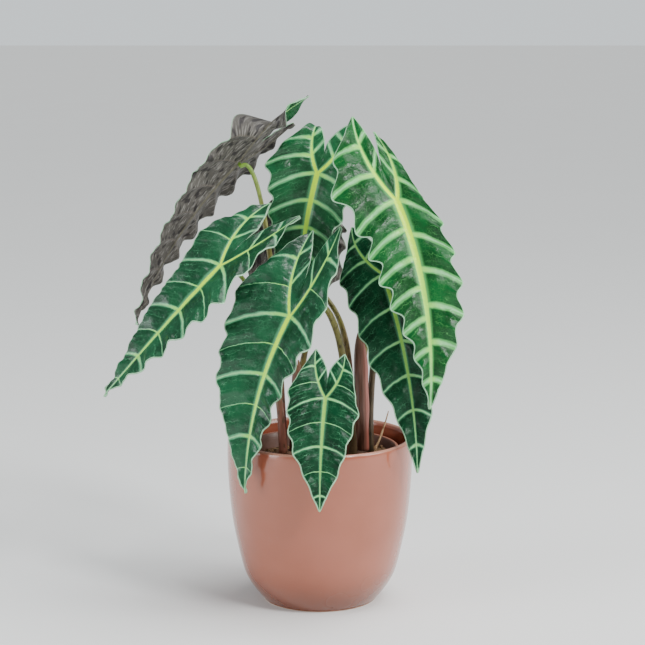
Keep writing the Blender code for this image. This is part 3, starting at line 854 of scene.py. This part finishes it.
underside = blade_lower()
# Each kind is (name, age, light level, specular level); the shaded kind is a painted shade copy for the
# leaves that sit in shadow.
leaf_kinds = (("shaded", 0.0, 0.25, 0.16), ("old", 0.0, 0.9, 0.42), ("grown", 0.35, 1.0, 0.40),
              ("young", 1.0, 1.0, 0.24))
upper_faces = {kind[0]: blade_upper("Blade, %s leaf" % kind[0], *kind[1:]) for kind in leaf_kinds}
for seed, (leaf, blade) in enumerate(blades.items()):
    piece = grow_blade("Blade_" + leaf, blade, 20 + 2 * seed)
    set_down(piece, "blade", "leaf_" + leaf, upper_faces[blade["age"]], underside)


# ---- Petioles -------------------------------------------------------------------------------
# Fleshy leaf stalks that rise out of the corms and run into the blades' ribs: wine red and scarred at
# the base, mottled olive above, and yellow green just under the blade.

stem_base = 3.2  # radius where a petiole leaves its corm
stem_top = 1.6  # radius under the blade
stem_stop = 4.5  # distance from the junction to the end of the full round stem

# Where each leaves its corm, the two places that it bends towards on its way up, and its radius in the
# middle; it ends just under its blade's junction.
petioles = {
    "back_left": ((-28, 10, 115), (-30, 10, 215), (-43, 28, 342), 2.0),
    "left": ((-28, 1, 115), (-31, 0, 190), (-52, -8, 262), 1.9),
    "top": ((-20, 6, 115), (-20, 8, 190), (16, 38, 255), 2.0),
    "front": ((22, 3, 115), (22, -5, 200), (6, -28, 258), 2.5),
    "small_front": ((25, -7, 115), (24, -18, 175), (12, -58, 205), 1.9),
    "right": ((38, 4, 115), (36, 12, 190), (58, 16, 300), 2.0),
    "right_rear": ((32, 10, 115), (28, 12, 190), (44, 0, 258), 2.0),
    "rear": ((25, 11, 115), (24, 8, 258), (2, 44, 195), 2.0),
}


def petiole_line(foot, low, high, end, middle_radius):
    """(x, y, z, radius) points along one curve from the corm to just under the blade."""
    t = np.linspace(0, 1, 80)[:, None]
    foot, low, high, end = (np.array(point, float) for point in (foot, low, high, end))
    place = foot * (1 - t) ** 3 + 3 * low * t * (1 - t) ** 2 + 3 * high * t * t * (1 - t) + end * t ** 3
    belly = 4 * middle_radius - stem_base - stem_top
    radius = stem_base * (1 - t) ** 2 + belly * t * (1 - t) + stem_top * t ** 2
    return np.hstack([place, radius])


def stem_skin(name, bottom, middle, top, marks_colour, gloss):
    """A stem's skin: three colours from base to top, with lengthwise streaks and dark mottling."""
    made, tree, shader, coords = new_material(name)
    along = xyz(tree, uv_map(tree, "stem"))[1]
    along = plus(tree, along, swing(tree, coords, 60.0, 3.0, 0.25))
    colour = blend(tree, fade(tree, along, 0.10, 0.42), bottom, middle)
    colour = blend(tree, fade(tree, along, 0.50, 0.92), colour, top)
    streaks = fade(tree, grain(tree, coords, 420.0, 3.0, 0.6, (1, 1, 0.12)), 0.45, 0.65)
    colour = paint(tree, colour, streaks, 0.35, marks_colour)
    blotches = fade(tree, grain(tree, coords, 330.0, 4.0, 0.6, (1, 1, 0.45)), 0.54, 0.62)
    faint = fade(tree, along, 0.95, 0.2, 0.25, 0.75)
    colour = paint(tree, colour, blotches, faint, marks_colour)
    relief = plus(tree, streaks, times(tree, blotches, -0.5))
    dress(tree, shader, relief, 0.25, 0.5 * MM, Base_Color=colour, Roughness=gloss)
    return made


wine = (0.20, 0.075, 0.050)
olive = (0.200, 0.185, 0.040)
dark_marks = (0.040, 0.030, 0.012)
green_stem = stem_skin("Petiole, green", wine, olive, (0.20, 0.37, 0.045), dark_marks, 0.38)
brown_stem = stem_skin("Petiole, brown", (0.085, 0.055, 0.025), (0.110, 0.080, 0.026),
                                (0.15, 0.20, 0.045), dark_marks, 0.42)
for leaf, (foot, low, high, middle_radius) in petioles.items():
    junction, _, up, _, _ = blade_frame(blades[leaf])
    line = petiole_line(foot, low, high, junction - up * stem_stop, middle_radius)
    ending = np.append(junction - up, line[-1, 3] * 0.9)
    root = np.append(line[0, :3] - (0, 0, 5), line[0, 3] * 1.15)
    line = np.vstack([root, line, ending])
    height = np.arange(len(line)) / len(line)
    line[:, 3] *= 1 + 0.05 * ripples(height * 60, height * 0, 31, 9.0)
    stock = new_stock()
    sweep(stock, line, 28, squash=0.92)
    piece = weld("Stem_" + leaf, stock)
    tone = brown_stem if leaf in ("right", "small_front") else green_stem
    set_down(piece, "petiole", "petiole_" + leaf, tone)


# ---- Corms ----------------------------------------------------------------------------------
# Squat starchy bases half sunk in the coir, ringed with old leaf scars and wrapped in fibrous skin.

bark, tree, shader, coords = new_material("Corm skin")
rings = add_node(tree, "ShaderNodeTexWave", {0: coords, 1: 260.0, 2: 4.0, 3: 3.0}, bands_direction="Z")
shreds = grain(tree, coords, 350.0, 5.0, 0.65, (1, 1, 0.3))
colour = blend(tree, fade(tree, shreds, 0.35, 0.65), (0.060, 0.026, 0.014), (0.24, 0.13, 0.07))
colour = paint(tree, colour, rings.outputs[1], 0.4, (0.035, 0.016, 0.010))
dress(tree, shader, plus(tree, rings.outputs[1], shreds), 0.6, MM, Base_Color=colour,
      Roughness=0.8)
for number, node in enumerate(("corm_left", "corm_right")):
    low, high = (np.array(corner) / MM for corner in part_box(node))
    middle, radius = (low + high) / 2, (high[0] - low[0]) / 2
    top = high[2]
    outline = [(0, 0.0), (3, -0.2), (6, -1.0), (9, -2.8), (radius - 0.6, -7.0), (radius, -12),
               (radius - 1.5, -18), (radius - 5, -23), (3, -24.8), (0, low[2] - top)]
    corm = turned("Base_" + node, smooth_path(outline, 5), 72)
    for point in corm.data.vertices:
        spot = Vector(point.co) / MM
        turn = math.atan2(spot.y, spot.x)
        scar = 0.35 * math.sin(spot.z * 1.9 + 0.8 * math.sin(turn * 2 + number))
        rough = noise.fractal(spot * 0.35 + Vector((number * 9, 0, 0)), 0.8, 2.0, 4) * 0.7
        grow = 1 + (scar + rough - 0.6) / radius * min(1, math.hypot(spot.x, spot.y) / 4)
        point.co = Vector((middle[0] + spot.x * grow, middle[1] + spot.y * grow, top + spot.z)) * MM
    set_down(corm, "corm", node, bark)


# ---- Sheaths --------------------------------------------------------------------------------
# Papery cataphylls that once wrapped young leaves: each is a dry bent strip beside its petioles, red
# brown and ribbed lengthwise, with a thin ragged tip.

papery, tree, shader, coords = new_material("Sheath paper")
around, along = xyz(tree, uv_map(tree, "stem"))[:2]
ribs = grain(tree, coords, 520.0, 3.0, 0.6, (1, 1, 0.07))
colour = blend(tree, fade(tree, ribs, 0.30, 0.70), (0.120, 0.055, 0.035), (0.200, 0.085, 0.055))
# Painted highlight: a pinker, lighter band down one side, full over most of the length and fading out near
# the tip.
painted_side_highlight = times(tree, fade(tree, around, 0.55, 0.85), fade(tree, along, 1.0, 0.7))
colour = paint(tree, colour, painted_side_highlight, 0.8, (0.38, 0.115, 0.085))
colour = blend(tree, fade(tree, along, 0.85, 1.0, 0.0, 0.6), colour, (0.26, 0.15, 0.07))
dress(tree, shader, ribs, 0.25, 0.5 * MM, Base_Color=colour, Roughness=0.4)
# Each is (foot, top, half width): it is widest a little above the middle and narrows to a ragged tip.
sheaths = {"right": ((33, -6, 115), (30, -7, 206), 5.5), "left": ((-17, -2, 115), (-17, 1, 182), 4.2)}
for number, (side, (foot, head, widest)) in enumerate(sheaths.items()):
    t = np.linspace(0, 1, 65)[:, None]
    half_width = widest * (0.75 + 0.5 * t) * (1 - 0.75 * t ** 5)
    line = np.hstack([np.array(foot) * (1 - t) + np.array(head) * t, half_width])
    arc = np.radians(np.linspace(-75, 75, 41))
    share = np.linspace(0, 1, len(line))[:, None]
    ridges = 0.07 * np.sin(arc * 13)[None] + 0.25 * ripples(share * 40 + arc * 3, arc * 9, 50 + number, 12)
    width = line[:, 3:] + ridges * np.minimum(1, line[:, 3:] / 3)
    faces = []
    for skin in (0.28, -0.28):
        x = line[:, :1] + (width + skin) * np.sin(arc)
        y = line[:, 1:2] + line[:, 3:] - (width + skin) * np.cos(arc)
        z = line[:, 2:3] + 2.2 * share ** 6 * ripples(arc * 6, arc * 0, 60 + number, 5)[None]
        faces.append(np.stack([x, y, z], -1))
    layout = np.stack(np.meshgrid(np.linspace(0, 1, len(arc)), share[:, 0]), -1)
    stock = new_stock()
    lay_grid(stock, faces[0], {"stem": layout})
    lay_grid(stock, faces[1], {"stem": layout}, flip=True)
    outer, inside = faces
    for a, b, flat in ((outer[:, 0], inside[:, 0], layout[:, 0]),
                       (inside[:, -1], outer[:, -1], layout[:, -1]),
                       (inside[0], outer[0], layout[0]), (outer[-1], inside[-1], layout[-1])):
        lay_grid(stock, np.stack([a, b]), {"stem": np.stack([flat, flat])})
    piece = weld("Strip_" + side, stock)
    set_down(piece, "sheath", "sheath_" + side, papery)


# ---- Dry stalk ------------------------------------------------------------------------------
# A withered flower stalk, thin and straw coloured, that leans over the nursery pot's rim.

stalk_foot, stalk_tip = np.array((41, 17, 108, 1.2)), np.array((53, 30, 138, 0.45))
t = np.linspace(0, 1, 50)[:, None]
stalk_line = stalk_foot + (stalk_tip - stalk_foot) * t - np.array((0, 0, 3, 0)) * 4 * t * (1 - t)
stalk_line[:, 3] *= 1 + 0.12 * ripples(stalk_line[:, 2], stalk_line[:, 2] * 0, 77, 4.0)
stock = new_stock()
sweep(stock, stalk_line, 16, squash=0.75)
stalk = weld("Dry_straw_stalk", stock)
straw, tree, shader, coords = new_material("Dry straw")
threads = grain(tree, coords, 700.0, 3.0, 0.6, (1, 1, 0.2))
colour = blend(tree, fade(tree, threads, 0.35, 0.65), (0.17, 0.085, 0.035), (0.50, 0.33, 0.17))
dress(tree, shader, threads, 0.5, 0.5 * MM, Base_Color=colour, Roughness=0.75)
set_down(stalk, "stalk", "dry_stalk", straw)


# ---- Setting --------------------------------------------------------------------------------
# A plain pale floor, soft studio light and the camera. None of it is part of the plant.

bpy.ops.mesh.primitive_plane_add(size=30.0, location=(0, 0, 0))
floor = bpy.context.object
floor.name = "Floor"
linen, tree, shader, coords = new_material("Pale floor")
tone = blend(tree, grain(tree, coords, 3.0, 2.0), (0.90, 0.91, 0.90), (0.93, 0.94, 0.93))
dress(tree, shader, grain(tree, coords, 300.0), 0.05, MM, Base_Color=tone, Roughness=0.7)
floor.data.materials.append(linen)
floor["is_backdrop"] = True

plant_middle = Vector((0.0, 0.0, 0.19))
for name, place, size, power, tint in (("Window", (1.6, -0.55, 0.9), 0.9, 22, (1.0, 0.99, 0.97)),
                                       ("Fill", (-1.6, -0.7, 0.5), 0.9, 18, (0.95, 0.98, 1.0)),
                                       ("Shadow", (0.85, -1.0, 1.35), 0.35, 20, (1.0, 1.0, 1.0))):
    lamp = bpy.data.lights.new(name, "AREA")
    lamp.energy = power
    lamp.size = size
    lamp.color = tint
    made = bpy.data.objects.new(name, lamp)
    made.location = place
    made.rotation_euler = (plant_middle - Vector(place)).to_track_quat("-Z", "Y").to_euler()
    bring_in(made)
high_sun = bpy.data.lights.new("Ceiling", "SUN")
high_sun.energy = 1.9
high_sun.angle = math.radians(38)
ceiling = bpy.data.objects.new("Ceiling", high_sun)
ceiling.rotation_euler = (math.radians(-6), math.radians(16), 0)
bring_in(ceiling)

world = bpy.data.worlds.new("Studio")
world.use_nodes = True
tree = world.node_tree
sky = tree.nodes["Background"]
join(tree, (0.88, 0.94, 0.97), sky.inputs[0])
seen = add_node(tree, "ShaderNodeLightPath").outputs["Is Camera Ray"]
join(tree, fade(tree, seen, 0.0, 1.0, 0.34, 1.00), sky.inputs[1])
bpy.context.scene.world = world

lens = bpy.data.cameras.new("Camera")
lens.lens = 109.3
lens.sensor_width = 36.0
camera = bpy.data.objects.new("Camera", lens)
camera.location = (0.002, -1.450, 0.459)
camera.rotation_euler = (math.radians(90 - 9.65), 0, 0)
bring_in(camera)
bpy.context.scene.camera = camera

bpy.context.view_layer.update()
low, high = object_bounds()
